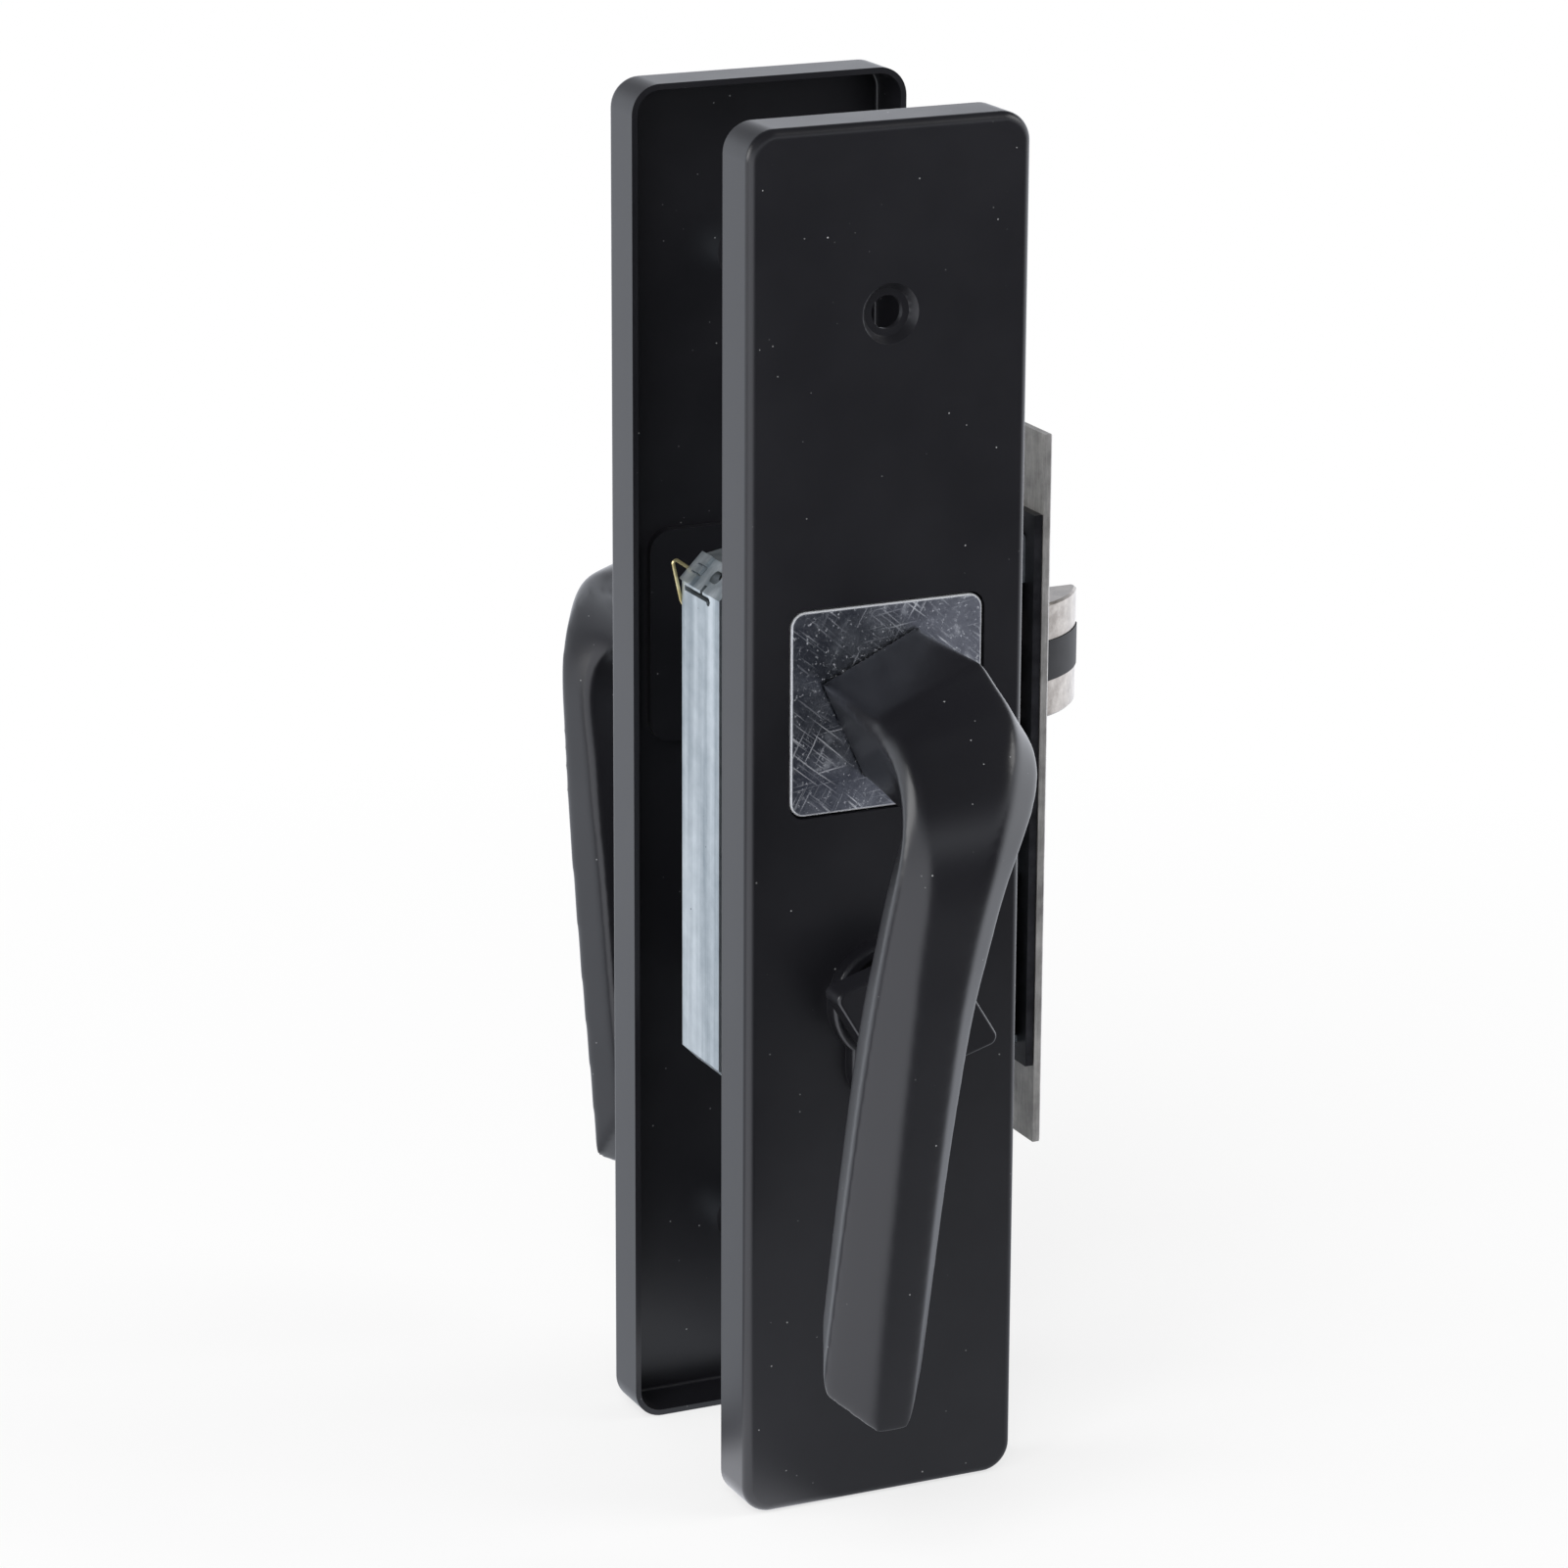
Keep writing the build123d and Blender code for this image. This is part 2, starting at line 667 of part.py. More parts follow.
with BuildPart() as forend:
    with BuildSketch(Plane.YZ.offset(forend_back)):
        with Locations((0, forend_middle)):
            Rectangle(forend_width, forend_length)
        bolt_openings()
    extrude(amount=forend_thickness)
    chamfer(forend.faces().sort_by(Axis.X)[-1].outer_wire().edges(), 0.3)
    for height in forend_hole_heights:
        with Locations(Plane(origin=(backset, 0, height), z_dir=(1, 0, 0))):
            CounterSinkHole(forend_hole_radius, forend_hole_mouth_radius, forend_thickness, 110)
    for height in forend_screw_heights:
        with Locations(Plane(origin=(backset, 0, height), z_dir=(1, 0, 0))):
            CounterSinkHole(forend_screw_radius + 0.2, forend_screw_head_radius, forend_thickness, 90)
    with Locations(Plane(origin=(backset, 0, -cylinder_drop - cylinder_screw_drop), z_dir=(1, 0, 0))):
        CounterSinkHole(cylinder_screw_radius + 0.2, cylinder_screw_head_radius, forend_thickness, 90)
forend.part.label = "forend"


def countersunk_screw(height, radius, head_radius, length):
    """A countersunk screw with a cross slot, put into the forend's face at this height."""
    front = backset - 0.1
    cone = forend_thickness - 0.1
    with BuildSketch(Plane.YZ.offset(front)) as head:
        with Locations((0, height)):
            Circle(head_radius - 0.3)
    extrude(head.sketch, amount=-cone, taper=45)
    with BuildSketch(Plane.YZ.offset(front)) as shank:
        with Locations((0, height)):
            Circle(radius)
    extrude(shank.sketch, amount=-length)
    with BuildSketch(Plane.YZ.offset(front)) as cross:
        with Locations((0, height)):
            Rectangle(head_radius, 0.9)
            Rectangle(0.9, head_radius)
    extrude(cross.sketch, amount=-1.1, mode=Mode.SUBTRACT)


with BuildPart() as forend_screws:
    for height in forend_screw_heights:
        countersunk_screw(height, forend_screw_radius, forend_screw_head_radius,
                          forend_thickness + inner_forend_thickness - 0.1)
forend_screws.part.label = "forend_screws"

with BuildPart() as cylinder_screw:
    countersunk_screw(-cylinder_drop - cylinder_screw_drop, cylinder_screw_radius,
                      cylinder_screw_head_radius, backset + profile_lobe_width / 2 - 1)
cylinder_screw.part.label = "cylinder_screw"


def latch_profile(rear, proud):
    """The latch head seen from above, its bevel this far proud of the metal's."""
    side = bolt_thickness / 2
    start = (backset + latch_root + proud, -side)
    tip = (latch_tip + proud, side - latch_tip_flat)
    run = hypot(tip[0] - start[0], tip[1] - start[1])
    middle = ((start[0] + tip[0]) / 2 + latch_bulge * (tip[1] - start[1]) / run,
              (start[1] + tip[1]) / 2 - latch_bulge * (tip[0] - start[0]) / run)
    with BuildLine() as outline:
        Polyline(start, (rear, -side), (rear, side), (tip[0], side), tip)
        ThreePointArc(tip, middle, start)
    make_face(outline.edges())


latch_insert_start = case_front - latch_insert_root

with BuildPart() as latch_bolt:
    with BuildSketch(Plane.XY.offset(latch_bottom)):
        latch_profile(latch_rear, 0)
    extrude(amount=latch_height)
    edge_loops = latch_bolt.faces().sort_by(Axis.Z)
    chamfer(edge_loops[0].edges() + edge_loops[-1].edges(), 0.4)
    with BuildSketch(Plane.XY.offset(-latch_centre_drop - latch_insert_height / 2 - latch_insert_gap)):
        with Locations((latch_insert_start - latch_insert_gap, 0)):
            Rectangle(2 * latch_projection + backset, 4 * bolt_thickness, align=(Align.MIN, Align.CENTER))
    extrude(amount=latch_insert_height + 2 * latch_insert_gap, mode=Mode.SUBTRACT)

    # Rear block, lug for the spring above, and the tail that the follower draws back
    side = bolt_thickness / 2
    with BuildSketch(at_side(side)):
        with Locations((latch_rear, tail_bottom)):
            Rectangle(latch_block_length, latch_centre_drop - tail_bottom, align=(Align.MIN, Align.MIN))
    extrude(amount=-bolt_thickness)
    spring_lug_height = latch_spring_height + 3.0 - latch_top
    for lug_length, lug_depth in ((latch_rear - lug_face + lug_thickness, tail_thickness),
                                  (lug_thickness, side + arm_thickness / 2)):
        with BuildSketch(at_side(side)):
            with Locations((latch_rear, latch_top - 0.5)):
                Rectangle(latch_block_length / 2, spring_lug_height, align=(Align.MIN, Align.MIN))
            with Locations((lug_face - lug_thickness, tail_bottom)):
                Rectangle(lug_length, tail_top - tail_bottom, align=(Align.MIN, Align.MIN))
        extrude(amount=-lug_depth)
    with BuildSketch(Plane.YZ.offset(latch_rear)):
        with Locations((0, latch_spring_height)):
            Circle(spring_pin_radius)
    extrude(amount=-3.5)
latch_bolt.part.label = "latch_bolt"

with BuildPart() as latch_insert:
    with BuildSketch(Plane.XY.offset(-latch_centre_drop - latch_insert_height / 2)):
        latch_profile(latch_insert_start, latch_insert_proud)
    extrude(amount=latch_insert_height)
latch_insert.part.label = "latch_insert"

with BuildPart() as latch_spring:
    spring_start = -1.0 + latch_spring_wire + 0.05
    spring_length = latch_rear - latch_spring_wire - 0.05 - spring_start
    with BuildLine() as latch_spring_path:
        Helix(spring_length / latch_spring_turns, spring_length, latch_spring_radius,
              center=(spring_start, 0, latch_spring_height), direction=(1, 0, 0))
    with BuildSketch(Plane(origin=latch_spring_path.line @ 0, z_dir=latch_spring_path.line % 0)):
        RegularPolygon(latch_spring_wire, 6)
    sweep(path=latch_spring_path.line, is_frenet=True)
latch_spring.part.label = "latch_spring"

with BuildPart() as return_spring:
    return_length = return_spring_top - return_spring_bottom - 2 * return_spring_wire
    with BuildLine() as return_spring_path:
        Helix(return_length / return_spring_turns, return_length, return_spring_radius, direction=(0, 0, 1),
              center=(return_spring_place, 0, return_spring_bottom + return_spring_wire))
    with BuildSketch(Plane(origin=return_spring_path.line @ 0, z_dir=return_spring_path.line % 0)):
        RegularPolygon(return_spring_wire, 6)
    sweep(path=return_spring_path.line, is_frenet=True)
return_spring.part.label = "return_spring"

with BuildPart() as spring_anchor:
    with BuildLine(at_side(-case_side - anchor_wire - 0.1)) as anchor_path:
        FilletPolyline(*anchor_corners, radius=0.5)
    with BuildSketch(Plane(origin=anchor_path.line @ 0, z_dir=anchor_path.line % 0)):
        RegularPolygon(anchor_wire, 6)
    sweep(path=anchor_path.line, transition=Transition.ROUND)

    # Both ends turn in through the cover
    with BuildSketch(at_side(-case_side - 2 * anchor_wire - 0.1)):
        with Locations(anchor_corners[0], anchor_corners[-1]):
            RegularPolygon(anchor_wire, 6)
    extrude(amount=2 * anchor_wire + case_sheet + 0.7)
spring_anchor.part.label = "spring_anchor"

with BuildPart() as follower:
    with BuildSketch(at_side(follower_thickness / 2)):
        Circle(follower_radius)
    extrude(amount=-follower_thickness)
    with BuildSketch(at_side(case_side)):
        Circle(journal_radius)
    extrude(amount=-case_thickness)
    with BuildSketch(at_side(arm_thickness / 2)):
        with Locations((nose_start, -nose_level)):
            Circle(arm_nose_radius)
        with Locations(Location((0, 0, 0), (0, 0, handle_swing / 2))):
            Rectangle(arm_width, arm_length, align=(Align.CENTER, Align.MAX))
        with Locations(Location((0, 0, 0), (0, 0, ear_droop))):
            Rectangle(ear_length, ear_height, align=(Align.MAX, Align.CENTER))
    extrude(amount=-arm_thickness)
    with BuildSketch(at_side(case_side)):
        Rectangle(spindle_size + 2 * spindle_clearance, spindle_size + 2 * spindle_clearance)
    extrude(amount=-case_thickness, mode=Mode.SUBTRACT)
follower.part.label = "follower"

with BuildPart() as deadbolt:
    with BuildSketch(at_side(bolt_thickness / 2)):
        with Locations((-deadbolt_tail, deadbolt_bottom)):
            Rectangle(deadbolt_tail + backset - deadbolt_setback, deadbolt_height,
                      align=(Align.MIN, Align.MIN))
    extrude(amount=-bolt_thickness)
    chamfer(deadbolt.faces().sort_by(Axis.X)[-1].edges(), deadbolt_corner)
    notch_half = cam_nose_radius + bolt_gap
    notch_top = -cylinder_drop + cam_nose_reach + cam_nose_radius + 0.5
    with BuildSketch(at_side(bolt_thickness / 2)):
        with BuildLine():
            Polyline((-cam_start - notch_half - notch_mouth, deadbolt_bottom),
                     (-cam_start - notch_half, deadbolt_bottom + notch_mouth),
                     (-cam_start - notch_half, notch_top), (-cam_start + notch_half, notch_top),
                     (-cam_start + notch_half, deadbolt_bottom + notch_mouth),
                     (-cam_start + notch_half + notch_mouth, deadbolt_bottom), close=True)
        make_face()
        slot_half = guide_radius + guide_gap
        with Locations((guide_place - deadbolt_throw / 2, guide_pillar[1])):
            Rectangle(deadbolt_throw + 2 * slot_half, 2 * slot_half)
    extrude(amount=-bolt_thickness, mode=Mode.SUBTRACT)
deadbolt.part.label = "deadbolt"

with BuildPart() as cylinder_body:
    with BuildSketch(at_side(cylinder_end)):
        cylinder_profile(0)
    extrude(amount=-2 * cylinder_end)
    chamfer(cylinder_body.faces().filter_by(Axis.Y).edges(), 0.3)
    with BuildSketch(at_side(cylinder_end)):
        with Locations((0, -cylinder_drop)):
            Circle(plug_radius + plug_clearance)
    extrude(amount=-2 * cylinder_end, mode=Mode.SUBTRACT)
    with BuildSketch(at_side(cam_slot / 2)):
        with Locations((0, -cylinder_drop - cam_ring_radius - 2 * cam_gap)):
            Rectangle(4 * profile_radius, 4 * profile_radius, align=(Align.CENTER, Align.MIN))
    extrude(amount=-cam_slot, mode=Mode.SUBTRACT)
    with BuildSketch(Plane.YZ.offset(-profile_lobe_width)):
        with Locations((0, -cylinder_drop - cylinder_screw_drop)):
            Circle(cylinder_screw_radius + 0.05)
    extrude(amount=2 * profile_lobe_width, mode=Mode.SUBTRACT)
cylinder_body.part.label = "cylinder_body"

with BuildPart() as cylinder_cam:
    with BuildSketch(at_side(cam_slot / 2 - cam_gap)):
        with Locations((0, -cylinder_drop)):
            Circle(cam_ring_radius)
        with Locations((-cam_start, -cylinder_drop + cam_level)):
            Circle(cam_nose_radius)
        with Locations(Location((0, -cylinder_drop, 0), (0, 0, cam_swing / 2))):
            Rectangle(cam_neck_width, cam_nose_reach, align=(Align.CENTER, Align.MIN))
        with Locations((0, -cylinder_drop)):
            Rectangle(coupling_width + 2 * coupling_gap, coupling_thickness + 2 * coupling_gap,
                      mode=Mode.SUBTRACT)
    extrude(amount=-(cam_slot - 2 * cam_gap))
cylinder_cam.part.label = "cylinder_cam"

with BuildPart() as turn_plug:
    with BuildSketch(at_side(cylinder_end + turn_end_gap)):
        with Locations((0, -cylinder_drop)):
            Circle(plug_radius)
    extrude(amount=-(cylinder_end + turn_end_gap - cam_slot / 2 - 0.1))
    with BuildSketch(at_side(cam_slot / 2 + 0.1)):
        with Locations((0, -cylinder_drop)):
            Rectangle(coupling_width, coupling_thickness)
    extrude(amount=-(cam_slot - 2))
turn_plug.part.label = "turn_plug"

with BuildPart() as thumb_turn:
    turn_start = cylinder_end + turn_end_gap
    with BuildSketch(at_side(turn_start)):
        with Locations((0, -cylinder_drop)):
            Circle(turn_base_radius)
    extrude(amount=turn_base_height)
    with BuildSketch(at_side(turn_start + turn_base_height)):
        with Locations(Location((0, -cylinder_drop, 0), (0, 0, turn_wing_angle))):
            Circle(turn_wing_radius)
            with Locations((turn_wing_length - turn_tip_radius, 0), (turn_tip_radius - turn_wing_length, 0)):
                Circle(turn_tip_radius)
        make_hull()
    extrude(amount=turn_wing_thickness)
    fillet(thumb_turn.faces().sort_by(Axis.Y)[0].edges(), 0.6)
thumb_turn.part.label = "thumb_turn"

with BuildPart() as key_plug:
    with BuildSketch(at_side(-cam_slot / 2 - 0.1)):
        with Locations((0, -cylinder_drop)):
            Circle(plug_radius)
    extrude(amount=-(cylinder_end - cam_slot / 2 - 0.1))
    with BuildSketch(at_side(-cylinder_end)):
        with Locations((0, -cylinder_drop)):
            Rectangle(keyway_width, keyway_height)
        with Locations((keyway_width / 2, -cylinder_drop),
                       (-keyway_width / 2, -cylinder_drop - keyway_height / 3)):
            Rectangle(keyway_width, keyway_height / 4)
    extrude(amount=keyway_depth, mode=Mode.SUBTRACT)
key_plug.part.label = "key_plug"

pieces = [front_plate, rear_plate, plate_posts, front_insert, rear_insert, front_bush, rear_bush,
          front_lever, rear_lever, front_circlip, rear_circlip, spindle, grub_screws,
          case_body, case_cover, case_pillars, case_screws, inner_forend, forend, forend_screws,
          latch_bolt, latch_insert, latch_spring, follower, return_spring, spring_anchor, deadbolt,
          cylinder_body, cylinder_cam, turn_plug, thumb_turn, key_plug, cylinder_screw]
os.makedirs("parts", exist_ok=True)
for piece in pieces:
    export_step(piece.part, "parts/" + piece.part.label + ".step")
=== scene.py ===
import bpy
import bmesh
import math
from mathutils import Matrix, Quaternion, Vector


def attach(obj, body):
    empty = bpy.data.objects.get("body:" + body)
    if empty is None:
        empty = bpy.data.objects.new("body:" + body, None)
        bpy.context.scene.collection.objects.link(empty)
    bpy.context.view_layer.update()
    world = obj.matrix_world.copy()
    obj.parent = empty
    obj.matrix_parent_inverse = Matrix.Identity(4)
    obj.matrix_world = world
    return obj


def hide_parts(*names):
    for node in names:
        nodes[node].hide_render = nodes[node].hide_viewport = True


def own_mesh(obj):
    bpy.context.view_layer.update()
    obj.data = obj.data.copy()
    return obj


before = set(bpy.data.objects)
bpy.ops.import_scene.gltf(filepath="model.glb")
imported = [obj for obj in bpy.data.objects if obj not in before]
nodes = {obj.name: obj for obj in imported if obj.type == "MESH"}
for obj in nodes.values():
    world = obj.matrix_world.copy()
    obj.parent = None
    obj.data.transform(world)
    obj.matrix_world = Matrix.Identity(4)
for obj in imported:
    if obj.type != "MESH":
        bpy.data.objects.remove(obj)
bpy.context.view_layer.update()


def hexColour(code):
    # an sRGB hex colour, turned to linear
    parts = [int(code[i:i + 2], 16) / 255 for i in (0, 2, 4)]
    return [p / 12.92 if p <= 0.04045 else ((p + 0.055) / 1.055) ** 2.4 for p in parts] + [1.0]


def addNode(tree, kind, settings, links):
    # one node with its settings and what feeds it; a number picks a socket by its place,
    # and "stops" are a ramp's colours as (place, hex colour)
    node = tree.nodes.new(kind)
    for name, value in settings.items():
        if name == "stops":
            while len(node.color_ramp.elements) < len(value):
                node.color_ramp.elements.new(1.0)
            for element, (place, code) in zip(node.color_ramp.elements, value):
                element.position = place
                element.color = hexColour(code)
        elif isinstance(name, int) or name in node.inputs:
            node.inputs[name].default_value = value
        else:
            setattr(node, name, value)
    for name, source in links.items():
        tree.links.new(source, node.inputs[name])
    return node


def startMaterial(name):
    material = bpy.data.materials.new(name)
    material.use_nodes = True
    tree = material.node_tree
    tree.nodes.clear()
    coords = addNode(tree, "ShaderNodeTexCoord", {}, {})
    return material, tree, coords.outputs["Object"]


cameraSettings = {
    "eye": (-0.3969, -0.8398, 0.2585),      # metres
    "target": (-0.0054, 0.0, -0.0204),
    "roll": 0.253,      # degrees
    "lens": 132.53,     # mm, for a square picture
    "sensor": 36.0,     # mm
    "clipStart": 0.05,  # metres
    "clipEnd": 20.0,
}

cameraData = bpy.data.cameras.new("photoCamera")
camera = bpy.data.objects.new("photoCamera", cameraData)
bpy.context.scene.collection.objects.link(camera)
cameraData.lens = cameraSettings["lens"]
cameraData.sensor_width = cameraSettings["sensor"]
cameraData.clip_start = cameraSettings["clipStart"]
cameraData.clip_end = cameraSettings["clipEnd"]
eye = Vector(cameraSettings["eye"])
facing = (Vector(cameraSettings["target"]) - eye).to_track_quat("-Z", "Y")
camera.rotation_mode = "QUATERNION"
camera.location = eye
camera.rotation_quaternion = facing @ Quaternion((0, 0, 1), math.radians(cameraSettings["roll"]))
bpy.context.scene.camera = camera
bpy.context.scene.view_settings.view_transform = "Standard"
print("camera placed")

lacquerSettings = {
    "colour": "18181c",
    "cloudColour": "1d1d21",
    "cloudSize": 18.0,      # mm, slow drift of the sprayed coat
    "peelSize": 0.9,        # mm, orange peel of the coat
    "peelDepth": 0.006,     # mm
    "roughness": 0.34,
    "glossier": 0.03,       # how far the roughness falls and rises with the drift
    "duller": 0.05,
    "dust": "c2c3c5",
    "dustSpacing": 2.8,     # mm between grains
    "dustRadius": 0.14,     # mm, twice a real grain so that it shows
    "dustLeftOut": 0.3,     # share of the grains that don't show
    "dustStrength": 0.75,   # how much the palest grain covers
}


def blackLacquer(name, changes):
    # stoving lacquer sprayed on pressed steel or zinc alloy: black, a soft gloss,
    # faint orange peel, a little dust
    values = dict(lacquerSettings, **changes)
    material, tree, where = startMaterial(name)
    cloud = addNode(tree, "ShaderNodeTexNoise",
                    {"Scale": 1000 / values["cloudSize"], "Detail": 3.0},
                    {"Vector": where})
    coat = addNode(tree, "ShaderNodeValToRGB",
                   {"stops": [(0.35, values["colour"]), (0.7, values["cloudColour"])]},
                   {"Fac": cloud.outputs["Fac"]})
    grains = addNode(tree, "ShaderNodeTexVoronoi",
                     {"Scale": 1000 / values["dustSpacing"]},
                     {"Vector": where})
    near = addNode(tree, "ShaderNodeMath",
                   {"operation": "LESS_THAN", 1: values["dustRadius"] / values["dustSpacing"]},
                   {0: grains.outputs["Distance"]})
    pick = addNode(tree, "ShaderNodeSeparateColor", {}, {0: grains.outputs["Color"]})
    strength = addNode(tree, "ShaderNodeMapRange",
                       {"From Min": values["dustLeftOut"], "From Max": 1.0,
                        "To Max": values["dustStrength"]},
                       {"Value": pick.outputs[0]})
    dust = addNode(tree, "ShaderNodeMath", {"operation": "MULTIPLY"},
                   {0: near.outputs[0], 1: strength.outputs[0]})
    colour = addNode(tree, "ShaderNodeMix",
                     {"data_type": "RGBA", 7: hexColour(values["dust"])},
                     {0: dust.outputs[0], 6: coat.outputs["Color"]})
    gloss = addNode(tree, "ShaderNodeMapRange",
                    {"To Min": values["roughness"] - values["glossier"],
                     "To Max": values["roughness"] + values["duller"]},
                    {"Value": cloud.outputs["Fac"]})
    peel = addNode(tree, "ShaderNodeTexNoise",
                   {"Scale": 1000 / values["peelSize"], "Detail": 2.0},
                   {"Vector": where})
    bump = addNode(tree, "ShaderNodeBump",
                   {"Strength": 0.2, "Distance": values["peelDepth"] / 1000},
                   {"Height": peel.outputs["Fac"]})
    shader = addNode(tree, "ShaderNodeBsdfPrincipled", {"IOR": 1.5},
                     {"Base Color": colour.outputs[2], "Roughness": gloss.outputs[0],
                      "Normal": bump.outputs[0]})
    addNode(tree, "ShaderNodeOutputMaterial", {}, {"Surface": shader.outputs[0]})
    return material


insertSettings = {
    "shade": "888d98",
    "colour": "dde2ea",
    # colour of the scratches and flecks, and of the highlight painted along the rim
    "scratchAndHighlight": "f0f2f5",
    "half": 17.2,               # mm, half the square
    "corner": 2.5,              # mm, the rounding of its corners
    "rim": 0.32,                # mm, a band painted bright all round the edge as a painted highlight
    "rimFade": 0.1,             # mm, from the painted highlight to the plain steel
    "paintedReflectionLean": 11.0,               # painted reflection: how much brighter the steel is painted towards the right, per metre
    "smearSize": 7.0,           # mm, smears under the protective film
    "smearDepth": 0.04,         # mm
    "scratchWidth": 0.18,       # mm, twice as wide as real ones so that they show
    "scratchLength": 4.5,       # mm
    # the directions that scratches run in: turn from upright in radians, mm of their patches
    "scratchRuns": ((0.5, 9.0), (-0.9, 12.0), (1.45, 8.0), (2.3, 10.0)),
    "scratchStrength": 0.65,
    "fleckSize": 0.7,           # mm, specks in the film
    "fleckStrength": 0.7,
    "creaseFineness": 9.0,      # more makes more creases round the neck
    "creasePatch": 14.0,        # mm, patches in which they show
    "creaseStrength": 0.5,
    "roughness": 0.3,
    "wornRoughness": 0.65,      # where it is scratched or creased, and on the painted highlight of the rim
    "wornMetallic": 0.55,
}


def scratchedInsert(name):
    # stainless steel polished to a mirror under a scuffed film: smears, hairline scratches,
    # creases of the film that run out from the lever's neck, and a highlight painted all round its
    # rim
    values = insertSettings
    material, tree, where = startMaterial(name)
    smear = addNode(tree, "ShaderNodeTexNoise",
                    {"Scale": 1000 / values["smearSize"], "Detail": 6.0, "Roughness": 0.7},
                    {"Vector": where})
    place = addNode(tree, "ShaderNodeSeparateXYZ", {}, {0: where})
    # painted reflection: the steel's tone is painted brighter towards the right, on top of the
    # smears
    paintedReflectionLeaning = addNode(tree, "ShaderNodeMath", {"operation": "MULTIPLY_ADD", 1: values["paintedReflectionLean"]},
                      {0: place.outputs["X"], 2: smear.outputs["Fac"]})
    base = addNode(tree, "ShaderNodeValToRGB",
                   {"stops": [(0.3, values["shade"]), (0.68, values["colour"])]},
                   {"Fac": paintedReflectionLeaning.outputs[0]})
    marks = []
    stretch = values["scratchLength"] / values["scratchWidth"]
    for turn, patchSize in values["scratchRuns"]:
        lie = addNode(tree, "ShaderNodeMapping",
                      {"vector_type": "TEXTURE", "Rotation": (0, turn, 0),
                       "Scale": (1.0, 1.0, stretch)},
                      {"Vector": where})
        # a scratch is at most half a cell of the noise wide
        lines = addNode(tree, "ShaderNodeTexNoise",
                        {"Scale": 1000 / values["scratchWidth"] / 2, "Detail": 1.0},
                        {"Vector": lie.outputs[0]})
        patch = addNode(tree, "ShaderNodeTexNoise", {"Scale": 1000 / patchSize, "Detail": 2.0},
                        {"Vector": where})
        thin = addNode(tree, "ShaderNodeMapRange",
                       {"From Min": 0.62, "From Max": 0.72, "To Max": values["scratchStrength"]},
                       {"Value": lines.outputs["Fac"]})
        local = addNode(tree, "ShaderNodeMapRange", {"From Min": 0.45, "From Max": 0.62},
                        {"Value": patch.outputs["Fac"]})
        marks.append(addNode(tree, "ShaderNodeMath", {"operation": "MULTIPLY"},
                             {0: thin.outputs[0], 1: local.outputs[0]}))
    flecks = addNode(tree, "ShaderNodeTexNoise",
                     {"Scale": 1000 / values["fleckSize"], "Detail": 3.0, "Roughness": 0.8},
                     {"Vector": where})
    marks.append(addNode(tree, "ShaderNodeMapRange",
                         {"From Min": 0.6, "From Max": 0.68, "To Max": values["fleckStrength"]},
                         {"Value": flecks.outputs["Fac"]}))
    # creases of the film: noise read along the direction from the neck, so it runs outwards
    outward = addNode(tree, "ShaderNodeVectorMath", {"operation": "NORMALIZE"}, {0: where})
    creases = addNode(tree, "ShaderNodeTexNoise",
                      {"Scale": values["creaseFineness"], "Detail": 3.0},
                      {"Vector": outward.outputs[0]})
    ridge = addNode(tree, "ShaderNodeMapRange", {"From Min": 0.6, "From Max": 0.7},
                    {"Value": creases.outputs["Fac"]})
    creased = addNode(tree, "ShaderNodeTexNoise",
                      {"Scale": 1000 / values["creasePatch"], "Detail": 1.0},
                      {"Vector": where})
    creasedHere = addNode(tree, "ShaderNodeMapRange",
                          {"From Min": 0.42, "From Max": 0.6, "To Max": values["creaseStrength"]},
                          {"Value": creased.outputs["Fac"]})
    marks.append(addNode(tree, "ShaderNodeMath", {"operation": "MULTIPLY"},
                         {0: ridge.outputs[0], 1: creasedHere.outputs[0]}))
    # the rim's painted highlight: how far a point is outside a square whose corners the rounding
    # starts from
    apart = addNode(tree, "ShaderNodeVectorMath", {"operation": "ABSOLUTE"}, {0: where})
    square = (values["half"] - values["corner"]) / 1000
    beyond = addNode(tree, "ShaderNodeVectorMath",
                     {"operation": "SUBTRACT", 1: (square, 1.0, square)},
                     {0: apart.outputs[0]})
    outside = addNode(tree, "ShaderNodeVectorMath", {"operation": "MAXIMUM", 1: (0, 0, 0)},
                      {0: beyond.outputs[0]})
    reach = addNode(tree, "ShaderNodeVectorMath", {"operation": "LENGTH"}, {0: outside.outputs[0]})
    rimStart = (values["corner"] - values["rim"]) / 1000
    rimFade = values["rimFade"] / 1000
    marks.append(addNode(tree, "ShaderNodeMapRange",
                         {"From Min": rimStart - rimFade, "From Max": rimStart + rimFade},
                         {"Value": reach.outputs["Value"]}))
